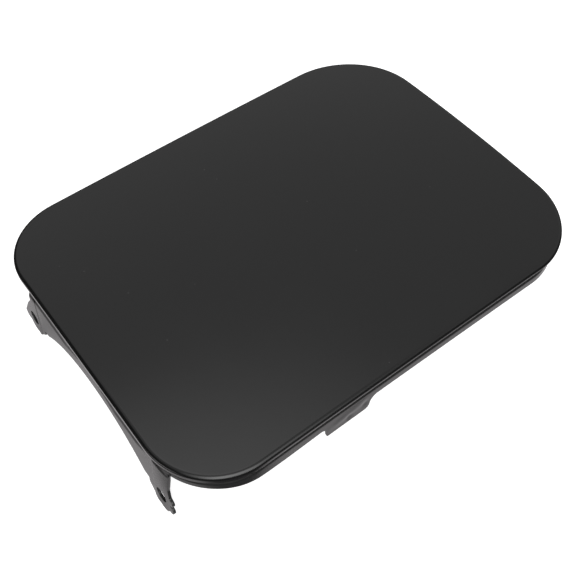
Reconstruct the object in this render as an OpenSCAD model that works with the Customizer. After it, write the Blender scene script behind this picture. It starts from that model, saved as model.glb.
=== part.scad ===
// Fuel filler door of a light truck: a crowned outer skin over a stamped inner panel.
// The inner panel carries the skirt, the side tab and the hinge flange with its two ears.
// Shapes are drawn from the apex of the outer face, with +X away from the hinge and
// +Z outwards. The finished part is placed with its origin midway between the hinge holes.

/* [Outer skin] */
// Length of the door, from the hinge edge to the free edge
panel_len = 200.6; // [160:0.2:240]
// Width of the door, along the hinge
panel_wid = 152.6; // [140:0.2:190]
// Corner radius at the free edge, far side
corner_free_far = 37.3; // [26:0.1:44]
// Corner radius at the free edge, near side
corner_free_near = 31.1; // [26:0.1:44]
// Corner radius at the hinge edge, far side
corner_hinge_far = 28.9; // [26:0.1:31]
// Corner radius at the hinge edge, near side
corner_hinge_near = 30.5; // [26:0.1:31]
// Radius of the crown across the width
crown_across = 852; // [600:1:1500]
// Radius of the crown along the length
crown_along = 6000; // [3000:10:12000]
// Sheet thickness of the outer skin
skin_t = 0.7; // [0.6:0.05:0.9]
// Outside radius where the skin turns down into its rim
skin_bend = 2; // [1.2:0.1:2.1]
// Height of the turned-down rim at the free edge, with its radius
rim_free = 2.2; // [2.2:0.1:3]
// Height of the turned-down rim at the hinge edge, with its radius
rim_hinge = 3.7; // [2.6:0.1:4.5]

/* [Inner panel] */
// Sheet thickness of the inner panel
inner_t = 1.2; // [0.9:0.05:1.5]
// Height of the adhesive between the skin and the inner panel
bond_h = 0.5; // [0.3:0.05:0.8]
// Clearance between the adhesive and each sheet
bond_clear = 0.04; // [0.02:0.01:0.08]
// Distance from the door's outline to the skirt's free edge
skirt_inset = 1.8; // [1.3:0.05:2.5]
// Depth of the skirt's free edge below the outer face
skirt_depth = 13.4; // [13:0.1:15]
// Depth of the lower end of the joggle round the skirt
joggle_low = 10.2; // [8:0.1:10.6]
// Height of the joggle
joggle_h = 1; // [0.8:0.1:2]
// Inward step of the skirt above the joggle
joggle_in = 0.5; // [0.2:0.05:0.8]
// Draft angle of the skirt and lean of the hinge flange
draft = 5; // [3:0.5:7]
// Outside radius of the bend between land and skirt
inner_bend = 1.8; // [1.6:0.1:2.4]
// Width of the bonded land round the inner panel
land_w = 12; // [10:0.5:13.5]
// Depth of the sunk field below the land
field_sink = 4.5; // [3:0.1:5]
// Width of the sloping wall between land and field
field_slope = 7; // [5:0.5:9]

/* [Stiffening beads and drains] */
// Number of pressed beads across the field
bead_count = 3; // [1:1:4]
// Distance from a bead's straight end to the long side of the field
bead_end = 21; // [14:0.5:30]
// Outside radius of a bead's round section
bead_r = 6; // [5:0.5:8]
// Height of a bead below the field
bead_h = 2.4; // [1.5:0.1:3.5]
// Gap between each mastic pad and the end of the field
pad_gap = 9; // [2:0.5:14]
// Diameter of a mastic pad at its foot
pad_d = 20; // [12:0.5:20]
// Diameter of the coating drain holes
drain_d = 8; // [5:0.5:10]
// Distance of the drain holes from the ends of the field
drain_end = 12; // [8:0.5:16]
// Distance of the drain holes from the long sides of the field
drain_side = 18; // [12:0.5:24]

/* [Hinge flange] */
// Distance between the two hinge screw holes
hole_pitch = 102; // [96:0.5:106]
// Diameter of the hinge screw holes
hole_d = 6.6; // [5.5:0.1:7]
// Depth of the hole centres below the outer face
hole_drop = 35; // [32:0.5:42]
// Width of the near ear's neck outboard of its hole
neck_near = 4.6; // [2:0.1:5]
// Width of the far ear's neck outboard of its hole
neck_far = -1.6; // [-2:0.1:5]
// Radius of the ears' rounded heel, next to the arch
heel_r = 5; // [4:0.1:6]
// Radius of the ears' rounded toe
toe_r = 4.4; // [3.5:0.1:5]
// Height of the arch's crown above the hole centres
arch_rise = 13.5; // [10:0.5:15]
// Distance from each hole's centre to the arch, at the height of the holes
arch_gap = 12.4; // [10.5:0.1:16]
// Outward step of the flange below the skirt
flange_step = 0.45; // [0.2:0.05:0.8]

/* [Side tab] */
// Distance of the tab's middle from the door's middle, towards the hinge
tab_x = 30; // [20:1:40]
// Width of the tab
tab_w = 20.5; // [14:0.5:30]
// Height of the tab below the skirt
tab_h = 5.6; // [3:0.1:8]

/* [Hidden] */
paint = [0.2, 0.2, 0.2];

half_len = panel_len / 2;
half_wid = panel_wid / 2;

// Number of steps round each corner and along each straight edge of an outline
corner_steps = 8;
edge_steps = 7;

// Corners in the order of travel: middle direction signs, radius and first angle
corners = [
    [1, 1, corner_free_far, 0],
    [-1, 1, corner_hinge_far, 90],
    [-1, -1, corner_hinge_near, 180],
    [1, -1, corner_free_near, 270]
];

// Height of the crowned outer face at a place on the door
function crown(x, y) = -x * x / (2 * crown_along) - y * y / (2 * crown_across);
// Centre of corner i
function corner_mid(i) = [
    corners[i][0] * (half_len - corners[i][2]),
    corners[i][1] * (half_wid - corners[i][2])
];
// Point on corner i, at angle a past its first angle, moved inwards by inset
function corner_point(i, a, inset) =
    corner_mid(i) + (corners[i][2] - inset) * [cos(corners[i][3] + a), sin(corners[i][3] + a)];
// Rounded outline of the door, moved inwards by inset and scaled about the middle
function outline(inset, grow) = [
    for (i = [0:3]) each concat(
        [for (k = [0:corner_steps - 1]) grow * corner_point(i, 90 * k / corner_steps, inset)],
        [for (k = [0:edge_steps - 1])
            let (from = corner_point(i, 90, inset), to = corner_point((i + 1) % 4, 0, inset))
            grow * (from + (to - from) * k / edge_steps)]
    )
];
ring_n = 4 * (corner_steps + edge_steps);
// Ring of points under the crowned face: r = [inset, depth below the face, scale, slope]
function slope_of(r) = len(r) > 3 ? r[3] : 0;
function ring(r) = [
    for (p = outline(r[0], r[2])) [p[0], p[1], crown(p[0], p[1]) - r[1] + slope_of(r) * p[0]]
];

// Closed shell through a chain of rings, capped at its first and last ring by a middle point
module ring_shell(rings) {
    last = len(rings) - 1;
    points = concat(
        [for (r = rings) each ring(r)],
        [[0, 0, -rings[0][1]], [0, 0, -rings[last][1]]]
    );
    sides = [
        for (j = [0:last - 1], k = [0:ring_n - 1])
            let (a = j * ring_n + k, b = j * ring_n + (k + 1) % ring_n)
            each [[a, b, b + ring_n], [a, b + ring_n, a + ring_n]]
    ];
    caps = [
        for (k = [0:ring_n - 1]) each [
            [(last + 1) * ring_n, (k + 1) % ring_n, k],
            [(last + 1) * ring_n + 1, last * ring_n + k, last * ring_n + (k + 1) % ring_n]
        ]
    ];
    polyhedron(points = points, faces = concat(sides, caps), convexity = 6);
}

// Rings of a closed band between two insets and two depths, joined end to end
module ring_band(rings) {
    n = len(rings);
    points = [for (r = rings) each ring(r)];
    faces = [
        for (j = [0:n - 1], k = [0:ring_n - 1])
            let (
                a = j * ring_n + k,
                b = j * ring_n + (k + 1) % ring_n,
                c = ((j + 1) % n) * ring_n + k,
                d = ((j + 1) % n) * ring_n + (k + 1) % ring_n
            )
            each [[a, b, d], [a, d, c]]
    ];
    polyhedron(points = points, faces = faces, convexity = 6);
}

// Angles of the steps round a bend
bend_steps = [for (a = [0:22.5:90]) a];
face_scales = [0.16, 0.34, 0.52, 0.7, 0.86];

// Outer skin: crowned face, rim bend and rim, with the same form inside at sheet thickness
skin_inner_bend = skin_bend - skin_t;
rim_mid = (rim_free + rim_hinge) / 2;
rim_slope = (rim_hinge - rim_free) / panel_len;
skin_rings = concat(
    [for (s = face_scales) [skin_bend, 0, s]],
    [for (a = bend_steps) [skin_bend * (1 - sin(a)), skin_bend * (1 - cos(a)), 1]],
    [[0, rim_mid, 1, rim_slope], [skin_t, rim_mid, 1, rim_slope]],
    [for (a = [90:-45:0]) [
        skin_bend - skin_inner_bend * sin(a),
        skin_bend - skin_inner_bend * cos(a),
        1
    ]],
    [for (k = [len(face_scales) - 1:-1:0]) [skin_bend, skin_t, face_scales[k]]]
);

// Inner panel: sunk field, sloping wall, bonded land, bend and drafted skirt
land_depth = skin_t + bond_h;
field_depth = land_depth + field_sink;
inner_bend_in = inner_bend - inner_t;
joggle_top = joggle_low - joggle_h;
// Inward step of the skirt at a depth below the outer face
function joggle(depth) = joggle_in * max(0, min(1, (joggle_low - depth) / joggle_h));
// Inset of the skirt's outer face at a depth below the outer face
function skirt_in(depth) = skirt_inset + (skirt_depth - depth) * tan(draft) + joggle(depth);
bend_depth = land_depth + inner_bend;
land_in = skirt_in(bend_depth) + inner_bend + land_w;
field_in = land_in + field_slope;
field_half = half_len - field_in;
field_side = half_wid - field_in;
wall_shift = inner_t / cos(draft);
field_scales = [0.3, 0.65];
slope_steps = [0, 0.25, 0.5, 0.75, 1];
// Smooth rise from 0 to 1
function ease(s) = s * s * (3 - 2 * s);
function panel_face(thick) = concat(
    [for (s = field_scales) [field_in, field_depth + thick, s]],
    [for (s = slope_steps) [
        field_in - s * field_slope,
        land_depth + thick + field_sink * (1 - ease(s)),
        1
    ]]
);
function reversed(list) = [for (k = [len(list) - 1:-1:0]) list[k]];
panel_rings = concat(
    panel_face(0),
    [for (a = bend_steps) [
        skirt_in(bend_depth) + inner_bend * (1 - sin(a)),
        land_depth + inner_bend * (1 - cos(a)),
        1
    ]],
    [for (d = [joggle_top, joggle_low, skirt_depth]) [skirt_in(d), d, 1]],
    [for (d = [skirt_depth, joggle_low, joggle_top]) [skirt_in(d) + wall_shift, d, 1]],
    [for (a = [90:-30:0]) [
        skirt_in(bend_depth) + wall_shift + inner_bend_in * (1 - sin(a)),
        land_depth + inner_t + inner_bend_in * (1 - cos(a)),
        1
    ]],
    reversed(panel_face(inner_t))
);

// Clearance of a mastic pad under the crowned skin and over the field, and its taper
pad_clear = 0.12;
pad_taper = 0.7;
pad_x = field_half - pad_gap - pad_d / 2;
bead_pitch = 2 * pad_x / bead_count;
bead_len = 2 * (field_side - bead_end);
drain_x = field_half - drain_end;
drain_y = field_side - drain_side;

// Reach of a cutting tool past each face that it cuts
past = 5;

// Height of the skirt's edge at the middle of the hinge side
hinge_edge_z = crown(half_len, 0) - skirt_depth;

// Hinge flange plane: it leans out at the draft angle from the skirt's free edge
flange_x = -half_len + skirt_inset - flange_step - (hole_drop + hinge_edge_z) * tan(draft);
hole_x = flange_x + inner_t / 2;
flange_top = hole_drop + hinge_edge_z;
flange_low = 20;
sink = 0.08;
straight_half = half_wid - max(corner_hinge_far, corner_hinge_near);
root_gap = 0.2;
flange_root = skirt_depth - joggle_low + crown(0, straight_half) - root_gap;

// Radius of the arch that rises arch_rise over the line of the holes
arch_half = hole_pitch / 2 - arch_gap;
arch_r = (arch_half * arch_half + arch_rise * arch_rise) / (2 * arch_rise);

// Places on an ear, outwards and upwards from its hole
heel_at = [-3.3, -4];
toe_at = [0.8, -4.5];
low_lobe_at = [5.8, -3];
low_lobe_r = 2.7;
high_lobe_at = [5.4, 3.2];
high_lobe_r = 2.4;
neck_in = 9;
neck_gap = 0.6;
// Share of a round lobe's radius at which the straight-sided part meets it
tuck = 0.9;
neck_foot = 3;

// Front view of one ear, with its hole at the middle and the door's middle to the left
module ear_shape(neck) {
    translate(heel_at) circle(r = heel_r, $fn = 64);
    translate(toe_at) circle(r = toe_r, $fn = 64);
    translate(low_lobe_at) circle(r = low_lobe_r, $fn = 48);
    translate(high_lobe_at) circle(r = high_lobe_r, $fn = 48);
    polygon([
        [heel_at[0], heel_at[1] - tuck * heel_r],
        [toe_at[0], toe_at[1] - tuck * toe_r],
        [toe_at[0] + tuck * toe_r, toe_at[1]],
        high_lobe_at + [high_lobe_r / 2, 0],
        high_lobe_at + [0, high_lobe_r],
        [neck, high_lobe_at[1] + neck_foot * high_lobe_r],
        [neck, flange_top - neck_gap],
        [-neck_in, flange_top - neck_gap],
        [-neck_in, heel_at[1]],
        [heel_at[0] - tuck * heel_r, heel_at[1]]
    ]);
}

// Front view of the hinge flange: both ears, the web and the arch between them
module flange_shape() {
    difference() {
        union() {
            translate([hole_pitch / 2, 0]) ear_shape(neck_far);
            mirror([1, 0]) translate([hole_pitch / 2, 0]) ear_shape(neck_near);
            translate([-hole_pitch / 2, 0]) square([hole_pitch, flange_top - neck_gap]);
            translate([-straight_half, 0]) square([2 * straight_half, flange_top + flange_root]);
        }
        translate([0, arch_rise - arch_r]) circle(r = arch_r, $fn = 180);
    }
}

// Side section of the flange: a shoulder at the skirt's edge, then the leaning sheet
module flange_section() {
    polygon([
        [0, -flange_low],
        [0, flange_top - flange_step],
        [flange_step + sink, flange_top + sink],
        [flange_step + sink, flange_top + flange_root],
        [flange_step + inner_t - sink, flange_top + flange_root],
        [flange_step + inner_t - sink, flange_top - flange_step / 2],
        [inner_t, flange_top - 2 * flange_step],
        [inner_t, -flange_low]
    ]);
}

module hinge_flange() {
    translate([flange_x, 0, -hole_drop]) rotate([0, draft, 0]) intersection() {
        translate([-past, 0, 0]) rotate([90, 0, 90])
            linear_extrude(height = 2 * past + inner_t) flange_shape();
        translate([0, hole_pitch, 0]) rotate([90, 0, 0])
            linear_extrude(height = 2 * hole_pitch) flange_section();
    }
}

// Lap of the tab over the skirt, sideways and upwards
tab_lap = 1;
tab_spread = 8;
tab_root = 2.5;

// Front view of the side tab, hanging from the skirt's edge at height zero
module tab_shape() {
    left = -tab_w / 2;
    right = tab_w / 2;
    soft = 3;
    root = 2.4;
    blend = 5.5;
    wedge = 0.35 * blend;
    difference() {
        union() {
            translate([left, soft - tab_h]) square([tab_w, tab_h]);
            translate([left, -tab_h]) square([tab_w - soft, tab_h]);
            translate([right - soft, soft - tab_h]) circle(r = soft, $fn = 48);
            translate([left - root, -root]) square([root, root + tab_lap]);
            translate([right, -wedge]) square([blend, wedge + tab_lap]);
        }
        translate([left - root, -root]) circle(r = root, $fn = 48);
        translate([right + blend, -blend]) circle(r = blend, $fn = 64);
    }
}

module side_tab() {
    edge_y = half_wid - skirt_inset;
    edge_z = crown(tab_x, half_wid) - skirt_depth;
    translate([-tab_x, -edge_y, edge_z]) rotate([-draft, 0, 0])
        rotate([90, 0, 0]) translate([0, 0, -inner_t + sink])
            linear_extrude(height = inner_t - 2 * sink) union() {
                tab_shape();
                translate([-tab_w / 2 - tab_spread / 2, 0]) square([tab_w + 1.5 * tab_spread, tab_root]);
            }
}

// One pressed bead: a round-ended bar of the given radius, across the door
module bead_bar(r) {
    drop = field_depth + inner_t + bead_h - bead_r;
    translate([0, -bead_len / 2, -drop]) rotate([-90, 0, 0]) cylinder(r = r, h = bead_len, $fn = 64);
    for (side = [-1, 1]) translate([0, side * bead_len / 2, -drop]) sphere(r = r, $fn = 64);
}

// Share of the field's sheet that a bead reaches up into
bead_root = 0.75;

// Space below the middle of the field's sheet, for the part of a bead that shows underneath
module under_field() {
    translate([-half_len, -half_wid, -3 * field_depth - bead_h])
        cube([panel_len, panel_wid, 2 * field_depth + bead_h - inner_t * bead_root]);
}

module each_bead() {
    for (k = [0:bead_count - 1]) translate([(k - (bead_count - 1) / 2) * bead_pitch, 0, 0]) children();
}

module inner_panel() {
    color(paint) difference() {
        union() {
            ring_shell(panel_rings);
            hinge_flange();
            side_tab();
            intersection() {
                each_bead() bead_bar(bead_r);
                under_field();
            }
        }
        each_bead() bead_bar(bead_r - inner_t);
        for (side = [-1, 1]) translate([flange_x - past, side * hole_pitch / 2, -hole_drop])
            rotate([0, 90, 0]) cylinder(d = hole_d, h = 2 * past + inner_t, $fn = 64);
        for (sx = [-1, 1], sy = [-1, 1])
            translate([sx * drain_x, sy * drain_y, -field_depth - past])
                cylinder(d = drain_d, h = 2 * past, $fn = 48);
    }
}

module outer_skin() {
    color(paint) ring_shell(skin_rings);
}

// Distance from the adhesive to the land's outer edge
bond_edge = 1;

module bond_bead() {
    top = skin_t + bond_clear;
    low = land_depth - bond_clear;
    bead_out = skirt_in(bend_depth) + inner_bend + bond_edge;
    bead_in = bead_out + land_w - 4 * bond_edge;
    color([0.75, 0.72, 0.65]) ring_band([
        [bead_out, top, 1],
        [bead_out, low, 1],
        [bead_in, low, 1],
        [bead_in, top, 1]
    ]);
}

// Anti-flutter mastic pad between the sunk field and the skin
module mastic_pad(x) {
    color([0.3, 0.3, 0.32]) translate([x, 0, crown(x, 0) - field_depth + pad_clear])
        cylinder(d1 = pad_d, d2 = pad_taper * pad_d, h = field_sink + bond_h - 2 * pad_clear, $fn = 48);
}

// Puts the origin midway between the hinge holes, in the middle of the ears' sheet
module placed() {
    translate([-hole_x, 0, hole_drop]) children();
}

placed() outer_skin();
placed() inner_panel();
placed() bond_bead();
placed() mastic_pad(-pad_x);  // mastic_pad_1
placed() mastic_pad(pad_x);  // mastic_pad_2
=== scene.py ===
import math

import bmesh
import bpy
import numpy as np
from mathutils import Matrix, Vector
from mathutils.geometry import delaunay_2d_cdt


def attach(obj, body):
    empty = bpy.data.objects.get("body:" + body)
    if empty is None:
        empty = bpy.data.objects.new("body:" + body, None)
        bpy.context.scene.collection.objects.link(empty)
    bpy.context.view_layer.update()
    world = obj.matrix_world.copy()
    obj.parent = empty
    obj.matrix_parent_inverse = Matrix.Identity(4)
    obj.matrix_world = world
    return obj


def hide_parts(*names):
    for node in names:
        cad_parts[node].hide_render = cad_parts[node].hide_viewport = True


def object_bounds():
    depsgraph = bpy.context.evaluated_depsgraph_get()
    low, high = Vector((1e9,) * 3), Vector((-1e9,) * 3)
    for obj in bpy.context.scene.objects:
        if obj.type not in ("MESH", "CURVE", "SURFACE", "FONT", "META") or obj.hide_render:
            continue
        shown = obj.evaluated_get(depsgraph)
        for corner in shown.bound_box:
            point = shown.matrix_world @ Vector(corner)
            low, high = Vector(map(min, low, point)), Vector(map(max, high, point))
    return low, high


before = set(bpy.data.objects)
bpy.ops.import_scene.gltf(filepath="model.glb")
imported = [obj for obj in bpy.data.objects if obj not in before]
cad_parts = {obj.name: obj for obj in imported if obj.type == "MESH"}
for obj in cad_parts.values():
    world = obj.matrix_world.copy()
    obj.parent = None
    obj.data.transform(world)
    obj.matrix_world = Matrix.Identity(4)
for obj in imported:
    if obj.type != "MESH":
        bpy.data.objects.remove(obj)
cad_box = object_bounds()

# Sizes in millimetres, as in the CAD source. Shapes are drawn from the apex of the outer face.
MM = 0.001
TINY = 1e-9
HALF_LEN = 100.3
HALF_WID = 76.3
# Corners of the outline: signs of x and y, radius, and the angle in degrees where the arc starts
CORNERS = [(1, 1, 37.3, 0), (-1, 1, 28.9, 90), (-1, -1, 30.5, 180), (1, -1, 31.1, 270)]
CROWN_ACROSS = 852.0
CROWN_ALONG = 6000.0
SKIN_T = 0.7
SKIN_BEND = 2.0
RIM_FREE = 2.2
RIM_HINGE = 3.7
INNER_T = 1.2
BOND_H = 0.5
SKIRT_INSET = 1.8
SKIRT_DEPTH = 13.4
JOGGLE_LOW = 10.2
JOGGLE_H = 1.0
JOGGLE_IN = 0.5
JOGGLE_SOFT = 0.2
DRAFT = math.radians(5)
INNER_BEND = 1.8
LAND_W = 12.0
FIELD_SINK = 4.5
FIELD_SLOPE = 7.0
BEAD_COUNT = 3
BEAD_END = 21.0
BEAD_HALF = 4.8
BEAD_H = 2.4
PAD_GAP = 9.0
PAD_R = 10.0
DRAIN_R = 4.0
DRAIN_END = 12.0
DRAIN_SIDE = 18.0
HOLE_PITCH = 102.0
HOLE_R = 3.3
HOLE_DROP = 35.0
NECK_NEAR = 4.6
NECK_FAR = -1.6
NECK_IN = 9.0
NECK_GAP = 0.6
ARCH_RISE = 13.5
ARCH_GAP = 12.4
FLANGE_STEP = 0.45
STRAIGHT_HALF = 45.8
FLANGE_ROOT = 1.9
TAB_X = -30.0
TAB_HALF = 10.25
TAB_H = 5.6

# Round lobes of an ear: place from the hole, outwards and upwards, and radius
HEEL = (-3.3, -4.0, 5.0)
TOE = (0.8, -4.5, 4.4)
LOW_LOBE = (5.8, -2.1, 2.6)
HIGH_LOBE = (6.0, 3.6, 2.2)
FAR_LOBE = (6.3, -3.6, 2.9)

LAND_DEPTH = SKIN_T + BOND_H
FIELD_DEPTH = LAND_DEPTH + FIELD_SINK
BEND_DEPTH = LAND_DEPTH + INNER_BEND
WALL_SHIFT = INNER_T / math.cos(DRAFT)


def crown(x, y):
    return -x * x / (2 * CROWN_ALONG) - y * y / (2 * CROWN_ACROSS)


def ease(s):
    return s * s * (3 - 2 * s)


def fade(value, first, last):
    """0 up to the first value, 1 from the last one on, and smooth between them."""
    return ease(np.clip((value - first) / (last - first), 0, 1))


def skirt_in(depth):
    """Inset of the skirt's outer face at a depth, with the joggle that runs round it."""
    joggle = JOGGLE_IN * fade(JOGGLE_LOW + JOGGLE_SOFT - depth, 0, JOGGLE_H + 2 * JOGGLE_SOFT)
    return SKIRT_INSET + (SKIRT_DEPTH - depth) * math.tan(DRAFT) + joggle


LAND_IN = skirt_in(BEND_DEPTH) + INNER_BEND + LAND_W
FIELD_IN = LAND_IN + FIELD_SLOPE
FIELD_HALF = HALF_LEN - FIELD_IN
FIELD_SIDE = HALF_WID - FIELD_IN
BEAD_PITCH = 2 * (FIELD_HALF - PAD_GAP - PAD_R) / BEAD_COUNT
BEAD_LEN = 2 * (FIELD_SIDE - BEAD_END)
DRAIN_AT = (FIELD_HALF - DRAIN_END, FIELD_SIDE - DRAIN_SIDE)
ARCH_HALF = HOLE_PITCH / 2 - ARCH_GAP
ARCH_R = (ARCH_HALF ** 2 + ARCH_RISE ** 2) / (2 * ARCH_RISE)
FLANGE_TOP = HOLE_DROP + crown(HALF_LEN, 0) - SKIRT_DEPTH
FLANGE_X = -HALF_LEN + SKIRT_INSET - FLANGE_STEP - FLANGE_TOP * math.tan(DRAFT)
SHIFT = np.array([-(FLANGE_X + INNER_T / 2), 0, HOLE_DROP])

# The outline as points and outward directions, with fine steps in each corner and along each edge
CORNER_STEPS = 36
EDGE_STEPS = 56


def outline_samples():
    points, normals = [], []
    for i, (sx, sy, radius, first) in enumerate(CORNERS):
        mid = np.array([sx * (HALF_LEN - radius), sy * (HALF_WID - radius)])
        for k in range(CORNER_STEPS):
            a = math.radians(first + 90 * k / CORNER_STEPS)
            normals.append((math.cos(a), math.sin(a)))
            points.append(mid + radius * np.array(normals[-1]))
        end = math.radians(first + 90)
        n = np.array([math.cos(end), math.sin(end)])
        nx, ny, nr, _ = CORNERS[(i + 1) % 4]
        start = mid + radius * n
        stop = np.array([nx * (HALF_LEN - nr), ny * (HALF_WID - nr)]) + nr * n
        for k in range(EDGE_STEPS):
            points.append(start + (stop - start) * k / EDGE_STEPS)
            normals.append(n)
    return np.array(points), np.array(normals)


RIM_P, RIM_N = outline_samples()
# Travel starts half way along the free edge, away from the flange and the tab
ROLL = EDGE_STEPS // 2
RIM_P = np.roll(RIM_P, ROLL, axis=0)
RIM_N = np.roll(RIM_N, ROLL, axis=0)
RIM_COUNT = len(RIM_P)
FOOT = RIM_P - SKIRT_INSET * RIM_N
STEPS = np.linalg.norm(np.roll(FOOT, -1, axis=0) - FOOT, axis=1)
TRAVEL = np.concatenate([[0], np.cumsum(STEPS)])


def on_outline(s):
    """Outline points and outward directions at the travel s."""
    px, py = (np.interp(s, TRAVEL, np.append(RIM_P[:, i], RIM_P[0, i])) for i in (0, 1))
    nx, ny = (np.interp(s, TRAVEL, np.append(RIM_N[:, i], RIM_N[0, i])) for i in (0, 1))
    return np.stack([px, py], 1), np.stack([nx, ny], 1)


# Meshes made of rings, and the rings themselves

# Points closer than this become one
WELD = 0.002


class Mesh:
    """Vertices and faces gathered in millimetres, drawn from the apex."""

    def __init__(self):
        self.points = []
        self.faces = []
        self.cut = set()
        self.count = 0

    def add(self, points):
        self.points.append(np.asarray(points, float))
        self.count += len(points)
        return self.count - len(points)

    def rings(self, rings):
        """Quads between closed rings of equal length."""
        bases = [self.add(r) for r in rings]
        n = len(rings[0])
        for a, b in zip(bases, bases[1:]):
            for k in range(n):
                m = (k + 1) % n
                self.faces.append((a + k, a + m, b + m, b + k))
        return bases

    def cap(self, base, n, middle):
        c = self.add([middle])
        for k in range(n):
            self.faces.append((base + k, base + (k + 1) % n, c))

    def make(self, name):
        """A smooth object in metres; faces noted in cut take its second material."""
        mesh = bpy.data.meshes.new(name)
        verts = (np.concatenate(self.points) + SHIFT) * MM
        mesh.from_pydata(verts.tolist(), [], self.faces)
        mesh.polygons.foreach_set("material_index", [int(k in self.cut) for k in range(len(self.faces))])
        bm = bmesh.new()
        bm.from_mesh(mesh)
        bmesh.ops.remove_doubles(bm, verts=bm.verts, dist=WELD * MM)
        bmesh.ops.delete(bm, geom=[v for v in bm.verts if not v.link_faces], context="VERTS")
        bmesh.ops.recalc_face_normals(bm, faces=bm.faces)
        for f in bm.faces:
            f.smooth = True
        bm.to_mesh(mesh)
        bm.free()
        ob = bpy.data.objects.new(name, mesh)
        bpy.context.scene.collection.objects.link(ob)
        mod = ob.modifiers.new("weighted", "WEIGHTED_NORMAL")
        mod.weight = 70
        mod.keep_sharp = False
        return ob


def ring(inset, depth, grow=1.0, slope=0.0):
    p = grow * (RIM_P - inset * RIM_N)
    return np.column_stack([p, crown(p[:, 0], p[:, 1]) - depth + slope * p[:, 0]])


def arc(first, last, steps):
    return [first + (last - first) * k / steps for k in range(steps + 1)]


def quarter(radius, steps):
    """Points of a quarter circle, as a leg that shrinks from the radius to nought and one that grows."""
    angles = [math.radians(a) for a in arc(0, 90, steps)]
    return [(radius * (1 - math.sin(a)), radius * (1 - math.cos(a))) for a in angles]


def bend(inset, depth, radius, steps, side=1):
    """Insets and depths round a bend that turns from flat to wall, or back with side -1."""
    path = [(inset + across, depth + down) for across, down in quarter(radius, steps)]
    return path if side > 0 else path[::-1]


def cut_edge(outer, inner, depth, radius):
    """Insets and depths round the softened free edge of a wall."""
    turn = quarter(radius, 4)
    path = [(outer + across, depth - up) for up, across in turn]
    return path + [(inner - across, depth - up) for up, across in turn[::-1]]


# Flat drawings, cut up into triangles by Blender's own planar routine

MERGE = 1e-5
# A plate's own points keep this share of its spacing clear of its edge
FILL_CLEAR = 0.55
CHUNK = 2000


def triangles(polygons, extra=()):
    """Vertices, triangles and the polygons that hold each triangle."""
    points, faces, base = [], [], 0
    for poly in polygons:
        points.extend(Vector(p) for p in np.asarray(poly, float).tolist())
        faces.append(list(range(base, base + len(poly))))
        base += len(poly)
    points.extend(Vector(p) for p in np.asarray(extra, float).reshape(-1, 2).tolist())
    verts, _, tris, _, _, owners = delaunay_2d_cdt(points, [], faces, 0, MERGE)
    return np.array([(v.x, v.y) for v in verts]), tris, owners


def turning(poly):
    """Area of a loop, positive where it turns to the left."""
    x, y = np.asarray(poly, float).T
    return 0.5 * float(np.sum(x * np.roll(y, -1) - y * np.roll(x, -1)))


def ccw(poly):
    poly = np.asarray(poly, float)
    return poly if turning(poly) > 0 else poly[::-1]


def disc(x, y, r, n=72):
    a = np.arange(n) * 2 * math.pi / n
    return np.column_stack([x + r * np.cos(a), y + r * np.sin(a)])


def combined(parts, cuts):
    """Boundary loops of the parts together, less the cuts; the inside lies on the left."""
    verts, tris, owners = triangles([ccw(p) for p in parts + cuts])
    used = set()
    for tri, own in zip(tris, owners):
        if own and max(own) < len(parts):
            used.update((tri[k], tri[(k + 1) % 3]) for k in range(3))
    following = {a: b for a, b in used if (b, a) not in used}
    loops = []
    while following:
        at = next(iter(following))
        loop = []
        while at in following:
            loop.append(at)
            at = following.pop(at)
        loops.append(verts[loop])
    return sorted(loops, key=lambda p: -abs(turning(p)))


def even(loop, spacing, smoothing):
    """The closed loop with even steps, softened a little where it kinks."""
    closed = np.vstack([loop, loop[:1]])
    length = np.concatenate([[0], np.cumsum(np.linalg.norm(np.diff(closed, axis=0), axis=1))])
    at = np.linspace(0, length[-1], int(length[-1] / spacing), endpoint=False)
    out = np.column_stack([np.interp(at, length, closed[:, i]) for i in (0, 1)])
    for _ in range(smoothing):
        out = (np.roll(out, 1, axis=0) + 2 * out + np.roll(out, -1, axis=0)) / 4
    return out


def inward(loop, held):
    """Inward direction at each vertex, from its edges that aren't held."""
    ahead = np.roll(loop, -1, axis=0) - loop
    left = np.column_stack([-ahead[:, 1], ahead[:, 0]])
    left /= np.maximum(np.linalg.norm(left, axis=1, keepdims=True), TINY)
    left[held] = 0
    both = left + np.roll(left, 1, axis=0)
    size = np.linalg.norm(both, axis=1, keepdims=True)
    return np.where(size > TINY, both / np.maximum(size, TINY), 0)


def plate(mesh, loops, fill, place, soft, spacing, held=None):
    """A sheet with softened cut edges. Loops keep the sheet on their left; held edges stay open."""
    held = held or [np.zeros(len(p), bool) for p in loops]
    normals = [inward(p, h) for p, h in zip(loops, held)]
    shrunk = [p + soft * n for p, n in zip(loops, normals)]
    edge = np.concatenate(shrunk)
    fill = np.asarray(fill, float).reshape(-1, 2)
    keep = []
    for chunk in np.array_split(fill, max(1, len(fill) // CHUNK)):
        gap = np.linalg.norm(chunk[:, None] - edge[None], axis=2).min(1)
        keep.append(chunk[gap > FILL_CLEAR * spacing])
    verts, tris, owners = triangles([ccw(p) for p in shrunk], np.concatenate(keep))
    inside = [t for t, own in zip(tris, owners) if list(own) == [0]]
    for depth in (0.0, INNER_T):
        base = mesh.add(place(verts, np.full(len(verts), depth)))
        mesh.faces.extend(tuple(base + v for v in t) for t in inside)
    path = quarter(soft, 4)
    path += [(across, INNER_T - down) for across, down in path[::-1]]
    for loop, normal, still in zip(loops, normals, held):
        bases = [mesh.add(place(loop + i * normal, np.full(len(loop), d))) for i, d in path]
        for row, (a, b) in enumerate(zip(bases, bases[1:])):
            for k in range(len(loop)):
                if not still[k]:
                    m = (k + 1) % len(loop)
                    if row > 0:
                        mesh.cut.add(len(mesh.faces))
                    mesh.faces.append((a + k, a + m, b + m, b + k))


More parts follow.
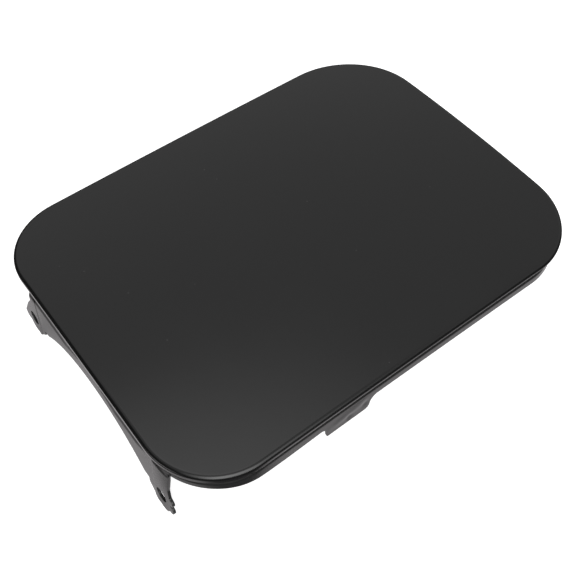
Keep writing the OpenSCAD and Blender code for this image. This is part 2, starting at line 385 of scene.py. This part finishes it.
def rounded_path(corners):
    """A path through corners (x, y, radius) with arcs at them."""
    pts = [np.array(c[:2], float) for c in corners]
    out = [pts[0]]
    for k in range(1, len(corners) - 1):
        a = (pts[k - 1] - pts[k]) / np.linalg.norm(pts[k - 1] - pts[k])
        b = (pts[k + 1] - pts[k]) / np.linalg.norm(pts[k + 1] - pts[k])
        half = math.acos(max(-1, min(1, float(a @ b)))) / 2
        r = corners[k][2]
        reach = r / math.tan(half)
        middle = pts[k] + (a + b) / np.linalg.norm(a + b) * r / math.sin(half)
        start, stop = pts[k] + a * reach - middle, pts[k] + b * reach - middle
        turn = math.pi - 2 * half
        for f in arc(0, 1, 10):
            mix = math.sin((1 - f) * turn) * start + math.sin(f * turn) * stop
            out.append(middle + mix / math.sin(turn))
    out.append(pts[-1])
    return np.array(out)


# Outer skin

SKIN_EDGE_SOFT = 0.12
# Rings of the crowned face, as shares of its rim, out from the middle
SKIN_RINGS = 34
FIRST_RING = 0.02
SECOND_RING = 0.05
# The near side's rim is lifted between these places, as in the photograph
RIM_LIFT = 0.6
LIFT_TO_NEAR = (40, 70)
LIFT_FROM_HINGE = (-100, -50)


def build_skin():
    mesh = Mesh()
    span = 1 - SECOND_RING
    grows = [FIRST_RING, SECOND_RING] + [SECOND_RING + span * k / SKIN_RINGS for k in range(1, SKIN_RINGS)]
    mid = (RIM_FREE + RIM_HINGE) / 2
    slope = (RIM_HINGE - RIM_FREE) / (2 * HALF_LEN)
    rings = [ring(SKIN_BEND, 0, g) for g in grows]
    rings += [ring(i, d) for i, d in bend(0, 0, SKIN_BEND, 16)]
    # The lift never makes the rim shallower than it is at the free edge
    rim = mid - slope * RIM_P[:, 0]
    lift = np.minimum(RIM_LIFT * fade(-RIM_P[:, 1], *LIFT_TO_NEAR), np.maximum(rim - RIM_FREE, 0))
    lift *= fade(RIM_P[:, 0], *LIFT_FROM_HINGE)
    for i, d in cut_edge(0, SKIN_T, mid, SKIN_EDGE_SOFT):
        low = ring(i, d, 1.0, slope)
        low[:, 2] += lift
        rings.append(low)
    rings += [ring(i, d) for i, d in bend(SKIN_T, SKIN_T, SKIN_BEND - SKIN_T, 7, -1)]
    rings += [ring(SKIN_BEND, SKIN_T, g) for g in reversed(grows[::3])]
    bases = mesh.rings(rings)
    mesh.cap(bases[0], RIM_COUNT, (0, 0, 0))
    mesh.cap(bases[-1], RIM_COUNT, (0, 0, -SKIN_T))
    return mesh.make("outer_skin_pressing")


# Inner panel: sunk field, bonded land, skirt with its tab

SLOPE_ROWS = 16
LAND_ROWS = 6
BEND_ROWS = 12
SKIRT_ROWS = 24
BEAD_SOFT = 0.45
FIELD_EDGE_SOFT = 0.18
FIELD_GRID = 1.25
FIELD_REACH = (90, 66)


def panel_rows(side):
    """Insets and depths from the field up its slope, over the land and down the skirt.
    Side 0 is the outer face of the sheet and 1 its inner face."""
    extra = side * INNER_T
    path = [
        (FIELD_IN - s * FIELD_SLOPE, LAND_DEPTH + extra + FIELD_SINK * (1 - ease(s)))
        for s in arc(0, 1, SLOPE_ROWS)
    ]
    rows = bend(skirt_in(BEND_DEPTH) + side * WALL_SHIFT, LAND_DEPTH + extra, INNER_BEND - extra, BEND_ROWS)
    first, last = path[-1][0], rows[0][0]
    shares = [k / LAND_ROWS for k in range(1, LAND_ROWS)]
    path += [((1 - share) * first + share * last, rows[0][1]) for share in shares]
    path += rows
    depths = arc(BEND_DEPTH, JOIN_DEPTH, SKIRT_ROWS)[1:]
    return path + [(skirt_in(d) + side * WALL_SHIFT, d) for d in depths]


def bead_drop(x, y):
    """How far the pressed beads push the field down."""
    total = np.zeros_like(x)
    for k in range(BEAD_COUNT):
        place = (k - (BEAD_COUNT - 1) / 2) * BEAD_PITCH
        gap = np.hypot(x - place, np.maximum(np.abs(y) - BEAD_LEN / 2, 0))
        high = BEAD_H * (1 - (gap / BEAD_HALF) ** 2)
        total += 0.5 * (high + np.sqrt(high * high + BEAD_SOFT * BEAD_SOFT))
    return total


def field_place(p, depth):
    x, y = p.T
    return np.column_stack([p, crown(x, y) - FIELD_DEPTH - bead_drop(x, y) - depth])


def add_field(mesh):
    """The sunk field with its beads and drain holes."""
    edge = ring(FIELD_IN, FIELD_DEPTH)[:, :2]
    xs, ys = (np.arange(-reach, reach, FIELD_GRID) for reach in FIELD_REACH)
    grid = np.array([(x, y) for x in xs for y in ys])
    drains = [
        disc(i * DRAIN_AT[0], j * DRAIN_AT[1], DRAIN_R)[::-1] for i in (-1, 1) for j in (-1, 1)
    ]
    held = [np.ones(len(edge), bool)] + [np.zeros(len(d), bool) for d in drains]
    plate(mesh, [edge, *drains], grid, field_place, FIELD_EDGE_SOFT, FIELD_GRID, held)


# The skirt's lower strip, drawn flat with its travel s and its depth d, starts at this depth
JOIN_DEPTH = SKIRT_DEPTH - 2.2
STRIP_EDGE_SOFT = 0.15
STRIP_GRID = 0.5
# The fine grid starts this far below the join and reaches this far before and past the tab
FINE_START = 0.4
FINE_REACH = (4, 8)
PLAIN_FROM = (5, 9)
PLAIN_ROWS = (0.8, 1.6)
# Corners of the tab: place along the edge, height, radius. The edge runs into both its feet.
TAB_CORNERS = [
    (-TAB_HALF - 8, 0, 0),
    (-TAB_HALF, 0, 2.3),
    (-TAB_HALF, -TAB_H, 0.8),
    (TAB_HALF, -TAB_H, 2.7),
    (TAB_HALF + 1.6, 0, 4.2),
    (TAB_HALF + 12, 0, 0),
]
# Pressed marks on the tab's face: place along the tab, height from the skirt's edge, push
TAB_MARKS = [(0.6, -2.6, -0.30), (-7.0, -2.0, -0.05), (8.4, -1.4, -0.28)]
MARK_SPREAD = 2.2
# A low ridge across the tab: push, height below the skirt's edge, tilt, spread and half length
RIDGE_PUSH = 0.22
RIDGE_LOW = 0.6
RIDGE_TILT = 0.16
RIDGE_SPREAD = 3.0
RIDGE_HALF = 9.0
# Waves of the near skirt's free edge: place, half width, and how much deeper the edge lies
EDGE_WAVES = [(-64, 20, 1.1), (-92, 12, -0.9)]
WAVES_TO_NEAR = (30, 60)


def tab_start():
    """The travel at the middle of the tab, on the straight part of the near side."""
    near = RIM_N[:, 1] < -0.999
    return float(np.interp(TAB_X, RIM_P[near, 0], TRAVEL[:-1][near]))


TAB_S = tab_start()


def tab_relief(s, depth):
    """Small outward relief of the tab's face."""
    x = s - TAB_S
    h = SKIRT_DEPTH - depth
    out = sum(push * np.exp(-((x - mx) ** 2 + (h - mh) ** 2) / MARK_SPREAD) for mx, mh, push in TAB_MARKS)
    ridge = np.exp(-((h + RIDGE_LOW - RIDGE_TILT * x) ** 2) / RIDGE_SPREAD)
    return out + RIDGE_PUSH * ridge * np.exp(-((x / RIDGE_HALF) ** 4))


def edge_drop(at):
    """How much deeper the skirt's free edge lies along the near side, and shallower round its corner."""
    x, y = at.T
    drop = sum(push * np.exp(-(((x - place) / half) ** 2)) for place, half, push in EDGE_WAVES)
    return drop * fade(-y, *WAVES_TO_NEAR)


def strip_place(p, depth):
    s, d = p.T
    at, n = on_outline(s)
    d = d + edge_drop(at) * np.clip((d - JOIN_DEPTH) / (SKIRT_DEPTH - JOIN_DEPTH), 0, 1)
    inset = skirt_in(d) + depth / math.cos(DRAFT) - tab_relief(s, d)
    q = at - inset[:, None] * n
    return np.column_stack([q, crown(q[:, 0], q[:, 1]) - d])


def strip_loop():
    """The skirt's lower strip, unrolled, with the tab below it, and which of its edges stay open."""
    long = TRAVEL[-1]
    clear = 0.2
    tab = rounded_path(TAB_CORNERS)
    tab = np.column_stack([TAB_S + tab[:, 0], SKIRT_DEPTH - tab[:, 1]])
    before = [(s, SKIRT_DEPTH) for s in TRAVEL if s < tab[0, 0] - clear]
    after = [(s, SKIRT_DEPTH) for s in TRAVEL if s > tab[-1, 0] + clear]
    top = [(s, JOIN_DEPTH) for s in TRAVEL[::-1]]
    sides = [JOIN_DEPTH + (SKIRT_DEPTH - JOIN_DEPTH) * k / 3 for k in (1, 2)]
    left = [(0, d) for d in sides]
    right = [(long, d) for d in sides[::-1]]
    loop = ccw([*left, *before, *tab.tolist(), *after, *right, *top])
    nxt = np.roll(loop, -1, axis=0)
    at_end = (loop[:, 0] < TINY) | (loop[:, 0] > long - TINY)
    seam = (np.abs(loop[:, 0] - nxt[:, 0]) < TINY) & at_end
    seam |= (np.abs(loop[:, 1] - JOIN_DEPTH) < TINY) & (np.abs(nxt[:, 1] - JOIN_DEPTH) < TINY)
    return loop, seam


def add_strip(mesh):
    """The skirt's lower strip, with a fine grid round the tab and plain rows elsewhere."""
    loop, seam = strip_loop()
    start, stop = TAB_S - TAB_HALF, TAB_S + TAB_HALF
    fine = [
        (s, d)
        for s in np.arange(start - FINE_REACH[0], stop + FINE_REACH[1], STRIP_GRID)
        for d in np.arange(JOIN_DEPTH + FINE_START, SKIRT_DEPTH + TAB_H, STRIP_GRID)
    ]
    plain = [
        (s, JOIN_DEPTH + row)
        for s in TRAVEL[1:-1]
        if not start - PLAIN_FROM[0] < s < stop + PLAIN_FROM[1]
        for row in PLAIN_ROWS
    ]
    plate(mesh, [loop], fine + plain, strip_place, STRIP_EDGE_SOFT, STRIP_GRID, [seam])


def build_panel():
    mesh = Mesh()
    for side in (0, 1):
        mesh.rings([ring(i, d) for i, d in panel_rows(side)])
    add_field(mesh)
    add_strip(mesh)
    return mesh.make("inner_panel_pressing")


# Hinge flange with both ears, lapped under the skirt's foot

# The web between the ears lies back from their faces by the recess, inside the pad edge
WEB_RECESS = 0.16
PAD_EDGE = 46.3
PAD_SOFT = 0.6
# The far ear's slanted side, as places from the hole, and the height where its neck starts
FAR_SIDE = [(4.2, 6.4), (0.6, 11.6)]
FAR_NECK_H = 15.0
FAR_LOBE_UP = 1.0
# An ear's straight-sided body reaches this share of a lobe's radius out from the lobe's middle
BODY_REACH = 0.9
NEAR_LAP_SHORT = 1.1
# The shoulder starts below the flange's top, drops between the middle and the near ear, and
# dips and widens along each corner: by how much for each millimetre, near and far
SHOULDER_LOW = 0.7
SHOULDER_H = 1.0
SHOULDER_DROP = 4.2
DROP_FROM_MIDDLE = (4, 22)
DROP_TO_NEAR = (34, 46)
CORNER_REACH = 12
DIP_NEAR, DIP_FAR = 0.03, 0.2
WIDEN_NEAR, WIDEN_FAR = 0.05, 0.55
NECK_LEAN = 0.65
LEAN_FROM = 4
LAP_GAP = 0.03
# Where the crown's height is taken for the skirt behind the flange, in from the edge
CROWN_IN = 1.5
FLANGE_EDGE_SOFT = 0.14
FLANGE_STEPS = 0.28
FLANGE_SPACING = 0.3
FLANGE_GRID = 0.9
FLANGE_FINE = 0.6
FLANGE_REACH = (64, 11)
# Close rows start this far before a place and end this far past it
SHOULDER_ROWS = (0.7, 0.4)
PAD_ROWS = (0.65, 0.05)
PAD_ROWS_END = 0.8


def ear(side, neck):
    """Outlines of one ear in the flange's plane."""
    def at(p, dx=0.0, dy=0.0):
        return (side * (HOLE_PITCH / 2 + p[0] + dx), p[1] + dy)

    if neck > 0:
        lobes = (LOW_LOBE, HIGH_LOBE)
        top = FLANGE_TOP + (FLANGE_ROOT - NEAR_LAP_SHORT)
        outer_side = [
            at(HIGH_LOBE, HIGH_LOBE[2] / 2, 0),
            at(HIGH_LOBE, 0, HIGH_LOBE[2]),
            at((neck, HIGH_LOBE[1] + 3 * HIGH_LOBE[2])),
        ]
    else:
        lobes = (FAR_LOBE,)
        top = FLANGE_TOP - NECK_GAP
        outer_side = [at(FAR_LOBE, BODY_REACH * FAR_LOBE[2], FAR_LOBE_UP)]
        outer_side += [at(p) for p in (*FAR_SIDE, (neck, FAR_NECK_H))]
    rounds = [disc(*at(lobe), lobe[2]) for lobe in (HEEL, TOE, *lobes)]
    body = [
        at(HEEL, 0, -BODY_REACH * HEEL[2]),
        at(TOE, 0, -BODY_REACH * TOE[2]),
        at(TOE, BODY_REACH * TOE[2], 0),
        *outer_side,
        at((neck, top)),
        at((-NECK_IN, top)),
        at((-NECK_IN, HEEL[1])),
        at(HEEL, -BODY_REACH * HEEL[2], 0),
    ]
    return rounds + [body]


def skirt_x(u, v):
    """Where the skirt's outer face is, behind the flange's plane, also round the corners."""
    z = -HOLE_DROP + v * math.cos(DRAFT)
    inset = skirt_in(crown(-HALF_LEN + CROWN_IN, u) - z)
    x = -HALF_LEN + inset
    for side, radius in ((1, CORNERS[1][2]), (-1, CORNERS[2][2])):
        round_r = radius - inset
        past = np.clip(side * u - (HALF_WID - radius), 0, round_r)
        x = x + round_r - np.sqrt(np.maximum(round_r ** 2 - past ** 2, 0))
    return (x - FLANGE_X - v * math.sin(DRAFT)) / math.cos(DRAFT)


def flange_place(p, depth):
    u, v = p.T
    near = u < 0
    off = np.abs(u)
    # The shoulder lies high in the middle and at the near ear, lower elsewhere, and widens at the corners
    past = np.clip(off - STRAIGHT_HALF, 0, CORNER_REACH)
    drop = SHOULDER_DROP * fade(off, *DROP_FROM_MIDDLE) * (1 - fade(-u, *DROP_TO_NEAR))
    low = FLANGE_TOP - SHOULDER_LOW - drop - np.where(near, DIP_NEAR, DIP_FAR) * past
    high = low + SHOULDER_H + np.where(near, WIDEN_NEAR, WIDEN_FAR) * past
    rise = fade(v, low, high)
    web = WEB_RECESS * fade(PAD_EDGE - off, 0, PAD_SOFT)
    # The near ear's neck leans back as it rises, towards the turned corner above it
    top = np.full(len(u), FLANGE_TOP)
    turned = skirt_x(u, top) - skirt_x(np.zeros(len(u)), top)
    web = web + np.where(near, NECK_LEAN, 0.0) * turned * fade(v, LEAN_FROM, FLANGE_TOP)
    x = web * (1 - rise) + rise * (skirt_x(u, v) + LAP_GAP) + depth
    return np.column_stack([
        FLANGE_X + x * math.cos(DRAFT) + v * math.sin(DRAFT),
        u,
        -HOLE_DROP - x * math.sin(DRAFT) + v * math.cos(DRAFT),
    ])


def flange_fill(top):
    """Points inside the flange: an even grid, close rows at the shoulder and beside each ear's pad."""
    reach, below = FLANGE_REACH
    fill = [
        (u, v)
        for u in np.arange(-reach, reach, FLANGE_GRID)
        for v in np.arange(-below, top, FLANGE_GRID)
    ]
    fill += [
        (u, v)
        for u in np.arange(-STRAIGHT_HALF, STRAIGHT_HALF, FLANGE_FINE)
        for v in arc(FLANGE_TOP - SHOULDER_ROWS[0], FLANGE_TOP + SHOULDER_ROWS[1], 8)
    ]
    fill += [
        (side * u, v)
        for side in (-1, 1)
        for u in arc(PAD_EDGE - PAD_ROWS[0], PAD_EDGE + PAD_ROWS[1], 5)
        for v in np.arange(0, FLANGE_TOP - PAD_ROWS_END, FLANGE_FINE)
    ]
    return fill


def build_flange():
    mesh = Mesh()
    half = HOLE_PITCH / 2
    top = FLANGE_TOP + FLANGE_ROOT
    web_top = FLANGE_TOP - NECK_GAP
    parts = ear(1, NECK_FAR) + ear(-1, NECK_NEAR)
    parts.append([(-half, 0), (half, 0), (half, web_top), (-half, web_top)])
    parts.append([(-STRAIGHT_HALF, 0), (STRAIGHT_HALF, 0), (STRAIGHT_HALF, top), (-STRAIGHT_HALF, top)])
    cuts = [disc(0, ARCH_RISE - ARCH_R, ARCH_R, 720)]
    outer = even(combined(parts, cuts)[0], FLANGE_STEPS, 3)
    holes = [disc(s * half, 0, HOLE_R, 96)[::-1] for s in (-1, 1)]
    plate(mesh, [outer, *holes], flange_fill(top), flange_place, FLANGE_EDGE_SOFT, FLANGE_SPACING)
    return mesh.make("hinge_flange_sheet")


# Shader nodes


class Graph:
    """The nodes of a material or of the world, and short ways to add more."""

    def __init__(self, owner):
        owner.use_nodes = True
        self.nodes = owner.node_tree.nodes
        self.join = owner.node_tree.links.new

    def node(self, kind, inputs, **settings):
        """A node with its settings; each input takes a value or another node's output."""
        made = self.nodes.new(kind)
        for name, value in settings.items():
            setattr(made, name, value)
        for key, value in inputs.items():
            if isinstance(value, bpy.types.NodeSocket):
                self.join(value, made.inputs[key])
            else:
                made.inputs[key].default_value = value
        return made

    def coordinate(self, kind):
        return self.nodes.new("ShaderNodeTexCoord").outputs[kind]

    def maths(self, operation, a, b):
        return self.node("ShaderNodeMath", {0: a, 1: b}, operation=operation).outputs["Value"]

    def vector(self, operation, *values):
        inputs = dict(enumerate(values))
        return self.node("ShaderNodeVectorMath", inputs, operation=operation).outputs["Vector"]

    def length(self, a):
        return self.node("ShaderNodeVectorMath", {0: a}, operation="LENGTH").outputs["Value"]

    def along(self, a, way):
        """How far a vector reaches along a direction."""
        return self.node("ShaderNodeVectorMath", {0: a, 1: way}, operation="DOT_PRODUCT").outputs["Value"]

    def ramp(self, value, lows, highs, kind="LINEAR"):
        """Maps a value from the first pair onto the second, and no further."""
        inputs = {
            "Value": value,
            "From Min": lows[0],
            "From Max": lows[1],
            "To Min": highs[0],
            "To Max": highs[1],
        }
        return self.node("ShaderNodeMapRange", inputs, interpolation_type=kind).outputs["Result"]

    def soft_ramp(self, value, lows, highs):
        return self.ramp(value, lows, highs, "SMOOTHSTEP")

    def noise(self, scale, detail):
        inputs = {"Vector": self.coordinate("Object"), "Scale": scale, "Detail": detail}
        return self.node("ShaderNodeTexNoise", inputs).outputs["Fac"]

    def bump(self, height, strength, distance, **under):
        """A bump, on top of the one given as Normal if there is one."""
        inputs = {"Height": height, "Strength": strength, "Distance": distance, **under}
        return self.node("ShaderNodeBump", inputs).outputs["Normal"]

    def blend(self, factor, first, second):
        """A colour between two."""
        inputs = {"Factor": factor, "A": (*first, 1), "B": (*second, 1)}
        return self.node("ShaderNodeMix", inputs, data_type="RGBA").outputs["Result"]


# Materials

LACQUER_IOR = 1.5
# Sizes of the coating's noises, as counts to the metre: drifting gloss, orange peel, fine grain
DRIFT_SCALE = 22.0
PEEL_SCALE = 260.0
GRAIN_SCALE = 1100.0
PEEL_H = 0.00006
GRAIN_H = 0.00001
SPECK_SCALE = 130.0
SPECK_RIM = (0.03, 0.06)
# The share of cells without a speck, and how much paler a speck is
SPECK_RARE = 0.8
SPECK_PALER = 0.02


def new_material(name, rough, colour):
    mat = bpy.data.materials.new(name)
    graph = Graph(mat)
    shader = graph.nodes["Principled BSDF"]
    shader.inputs["Base Color"].default_value = (*colour, 1)
    shader.inputs["Roughness"].default_value = rough
    shader.inputs["IOR"].default_value = LACQUER_IOR
    return mat, graph, shader.inputs


def coating(name, dark, rough, peel, level=0.5):
    """Black electrocoat: faint orange peel, drifting gloss and a few dust specks."""
    mat, graph, inputs = new_material(name, rough, (dark, dark, dark))
    inputs["Specular IOR Level"].default_value = level
    drift = graph.ramp(graph.noise(DRIFT_SCALE, 2.0), (0.3, 0.7), (rough - 0.025, rough + 0.03))
    graph.join(drift, inputs["Roughness"])
    under = graph.bump(graph.noise(PEEL_SCALE, 1.0), peel, PEEL_H)
    grain = graph.bump(graph.noise(GRAIN_SCALE, 2.0), peel, GRAIN_H, Normal=under)
    graph.join(grain, inputs["Normal"])
    cells = graph.node("ShaderNodeTexVoronoi", {"Vector": graph.coordinate("Object"), "Scale": SPECK_SCALE})
    dot = graph.ramp(cells.outputs["Distance"], SPECK_RIM, (1.0, 0.0))
    split = graph.node("ShaderNodeSeparateColor", {"Color": cells.outputs["Color"]})
    rare = graph.maths("GREATER_THAN", split.outputs["Red"], SPECK_RARE)
    speck = graph.maths("MULTIPLY", dot, rare)
    pale = dark + SPECK_PALER
    graph.join(graph.blend(speck, (dark, dark, dark), (pale, pale, pale)), inputs["Base Color"])
    return mat


def putty(name, colour, rough, scale):
    """A soft paste whose colour and surface vary with one noise."""
    mat, graph, inputs = new_material(name, rough, colour)
    uneven = graph.noise(scale, 4.0)
    colours = ([share * c for c in colour] for share in (0.8, 1.15))
    graph.join(graph.blend(uneven, *colours), inputs["Base Color"])
    graph.join(graph.bump(uneven, 0.4, 0.0002), inputs["Normal"])
    return mat


def paint(ob, *mats):
    ob.data.materials.clear()
    for mat in mats:
        ob.data.materials.append(mat)


skin_coat = coating("black_electrocoat", 0.006, 0.19, 0.10)
panel_coat = coating("black_electrocoat_inner", 0.012, 0.27, 0.16)
edge_coat = coating("black_electrocoat_cut_edge", 0.005, 0.55, 0.3, 0.1)
glue = putty("cured_adhesive", (0.33, 0.28, 0.2), 0.55, 300.0)
mastic = putty("soft_mastic", (0.05, 0.05, 0.053), 0.8, 420.0)

skin = build_skin()
paint(skin, skin_coat)
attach(skin, "root")
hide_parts("outer_skin")

panel = build_panel()
flange = build_flange()
for part in (panel, flange):
    paint(part, panel_coat, edge_coat)
    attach(part, "root")
    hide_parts("inner_panel")

paint(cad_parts["bond_bead"], glue)
for name in ("mastic_pad_1", "mastic_pad_2"):
    paint(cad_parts[name], mastic)


# Floor, surroundings and camera, in metres

floor_z = cad_box[0].z
door_mid = (cad_box[0] + cad_box[1]) / 2
door_half = (cad_box[1] - cad_box[0]) / 2
FLOOR_HALF = 12.0
CAMERA_GLOW = 0.76
DARK = 0.03

# Painted reflection: the table as the coating mirrors it, an emission that only glossy rays see. It is pale
# close to the door and dark beyond, sooner along x.
TABLE_COLOUR = (1.0, 0.965, 0.98, 1)
TABLE_GLOW = 0.92
AWAY_WEIGHTS = (2, 1, 0)
PALE_EDGE = (0.015, 0.065)
# Painted shade in the mirrored table: a darker pool at the near corner by the hinge, and the door's own
# shade, painted from an occlusion node
POOL_XY = (0.010, -0.107)
POOL_EDGE = (0.022, 0.045)
POOL_GLOW = 0.08
SHADE_REACH = 0.05
SHADE_EDGE = (0.15, 0.9)
# Painted reflection: the mirrored glow is dimmer off the hinge's edge and brighter along the door
HINGE_SIDE = (-0.02, 0.02)
HINGE_GLOW = (0.8, 1.15)
# A painted strip of light on the table, on the left, that only reflections show: directions, and the places
# along them where it starts and is full
STRIP = 2.0
STRIP_SIDES = [
    ((-1, 0, 0), (0.050, 0.080)),
    ((1, 0, 0), (-0.165, -0.120)),
    ((0, -1, 0), (-0.01, 0.05)),
    ((0, 1, 0), (-0.10, -0.06)),
]

# The ceiling ends higher on the hinge's side, and is brightest at the back
CEILING = 0.50
CEILING_UP = (0.25, 0, 1)
CEILING_EDGE = (0.23, 0.51)
BACK_GLOW = (1.0, 1.3)
# A brighter patch overhead and two low windows in front: direction, strength, and the cosines
# of the angles from it where the light starts and is full
PATCHES = [
    ((-0.05, 0.06, 1.0), 0.96, (0.88, 0.99)),
    ((-0.26, -0.90, 0.34), 3.0, (0.78, 0.97)),
    ((-0.583, -0.694, 0.423), 1.3, (0.84, 0.98)),
]

# The camera fitted to the photograph: its directions, its place in millimetres, its lens
CAMERA_RIGHT = Vector((0.795836, -0.605349, -0.014054))
CAMERA_FORWARD = Vector((0.345282, 0.472756, -0.810729))
CAMERA_AT = Vector((-37.95, -186.4, 313.4))
SENSOR = 36.0
LENS = 54.75


def painted_table_reflection(graph):
    """Painted reflection: brightness of the table as the coating mirrors it, a glow that only glossy rays
    see.
    """
    coord = graph.coordinate("Object")
    away = graph.vector("ABSOLUTE", graph.vector("SUBTRACT", coord, door_mid))
    away = graph.vector("MAXIMUM", graph.vector("SUBTRACT", away, door_half), (0, 0, 0))
    away = graph.length(graph.vector("MULTIPLY", away, AWAY_WEIGHTS))
    glow = graph.soft_ramp(away, PALE_EDGE, (TABLE_GLOW, DARK))
    # Painted shade: a darker pool on the mirrored table by the near corner
    foot = graph.length(graph.vector("SUBTRACT", coord, (*POOL_XY, floor_z)))
    pool = graph.soft_ramp(foot, POOL_EDGE, (POOL_GLOW, 1.0))
    # Painted shade: occlusion from the door darkens the mirrored table near it
    shade = graph.node("ShaderNodeAmbientOcclusion", {"Distance": SHADE_REACH}, samples=8)
    shade = graph.ramp(shade.outputs["AO"], SHADE_EDGE, (0.0, 1.0))
    # Painted reflection: the mirrored table is dimmer off the hinge's edge
    hinge = graph.soft_ramp(graph.along(coord, (1, 0, 0)), HINGE_SIDE, HINGE_GLOW)
    for factor in (pool, shade, hinge):
        glow = graph.maths("MULTIPLY", glow, factor)
    # Painted light: a bright strip on the mirrored table, which the coating shows as glints
    strip = STRIP
    for way, edge in STRIP_SIDES:
        strip = graph.maths("MULTIPLY", graph.soft_ramp(graph.along(coord, way), edge, (0.0, 1.0)), strip)
    return graph.maths("ADD", glow, strip)


def build_floor():
    """A pale table that the camera sees evenly lit; the coating mirrors a painted reflection of it instead,
    a glow for glossy rays as painted_table_reflection says.
    """
    mesh = bpy.data.meshes.new("floor")
    signs = ((-1, -1), (1, -1), (1, 1), (-1, 1))
    mesh.from_pydata([(x * FLOOR_HALF, y * FLOOR_HALF, floor_z) for x, y in signs], [], [(0, 1, 2, 3)])
    ob = bpy.data.objects.new("floor", mesh)
    bpy.context.scene.collection.objects.link(ob)
    mat = bpy.data.materials.new("pale_floor")
    graph = Graph(mat)
    graph.nodes.remove(graph.nodes["Principled BSDF"])
    path = graph.node("ShaderNodeLightPath", {}).outputs
    seen = graph.maths("MAXIMUM", path["Is Camera Ray"], path["Is Transmission Ray"])
    plain = graph.node("ShaderNodeBsdfDiffuse", {"Color": (0.8, 0.8, 0.8, 1)})
    lift = graph.maths("MULTIPLY", seen, CAMERA_GLOW)
    lit = graph.node("ShaderNodeEmission", {"Color": (1, 1, 1, 1), "Strength": lift})
    both = graph.node("ShaderNodeAddShader", {0: plain.outputs["BSDF"], 1: lit.outputs["Emission"]})
    # Painted reflection: glossy rays see this glow in place of the lit table
    mirrored = graph.node("ShaderNodeEmission", {"Color": TABLE_COLOUR, "Strength": painted_table_reflection(graph)})
    mix = graph.node("ShaderNodeMixShader", {
        0: path["Is Glossy Ray"],
        1: both.outputs["Shader"],
        2: mirrored.outputs["Emission"],
    })
    graph.join(mix.outputs["Shader"], graph.nodes["Material Output"].inputs["Surface"])
    ob.data.materials.append(mat)


def build_world():
    """A soft ceiling above a dark horizon, with the brighter patches. The camera sees plain white."""
    world = bpy.data.worlds.new("studio")
    bpy.context.scene.world = world
    graph = Graph(world)
    backdrop = graph.nodes["Background"].inputs
    backdrop["Color"].default_value = (1, 1, 1, 1)
    way = graph.coordinate("Generated")
    light = graph.soft_ramp(graph.along(way, CEILING_UP), CEILING_EDGE, (DARK, CEILING))
    back = graph.ramp(graph.along(way, (0, 1, 0)), (0.0, 1.0), BACK_GLOW)
    light = graph.maths("MULTIPLY", light, back)
    for direction, strength, span in PATCHES:
        toward = graph.along(way, Vector(direction).normalized())
        light = graph.maths("ADD", light, graph.soft_ramp(toward, span, (0.0, strength)))
    path = graph.node("ShaderNodeLightPath", {}).outputs
    graph.join(graph.maths("MAXIMUM", light, path["Is Camera Ray"]), backdrop["Strength"])


def build_camera():
    data = bpy.data.cameras.new("camera")
    data.sensor_width = SENSOR
    data.lens = LENS
    data.dof.use_dof = False
    data.clip_start = 0.01
    data.clip_end = 50.0
    ob = bpy.data.objects.new("camera", data)
    bpy.context.scene.collection.objects.link(ob)
    forward = CAMERA_FORWARD.normalized()
    right = (CAMERA_RIGHT - CAMERA_RIGHT.dot(forward) * forward).normalized()
    spin = Matrix((right, right.cross(forward), -forward)).transposed()
    ob.matrix_world = Matrix.Translation(CAMERA_AT * MM) @ spin.to_4x4()
    bpy.context.scene.camera = ob


build_floor()
build_world()
build_camera()
bpy.context.scene.view_settings.view_transform = "Standard"
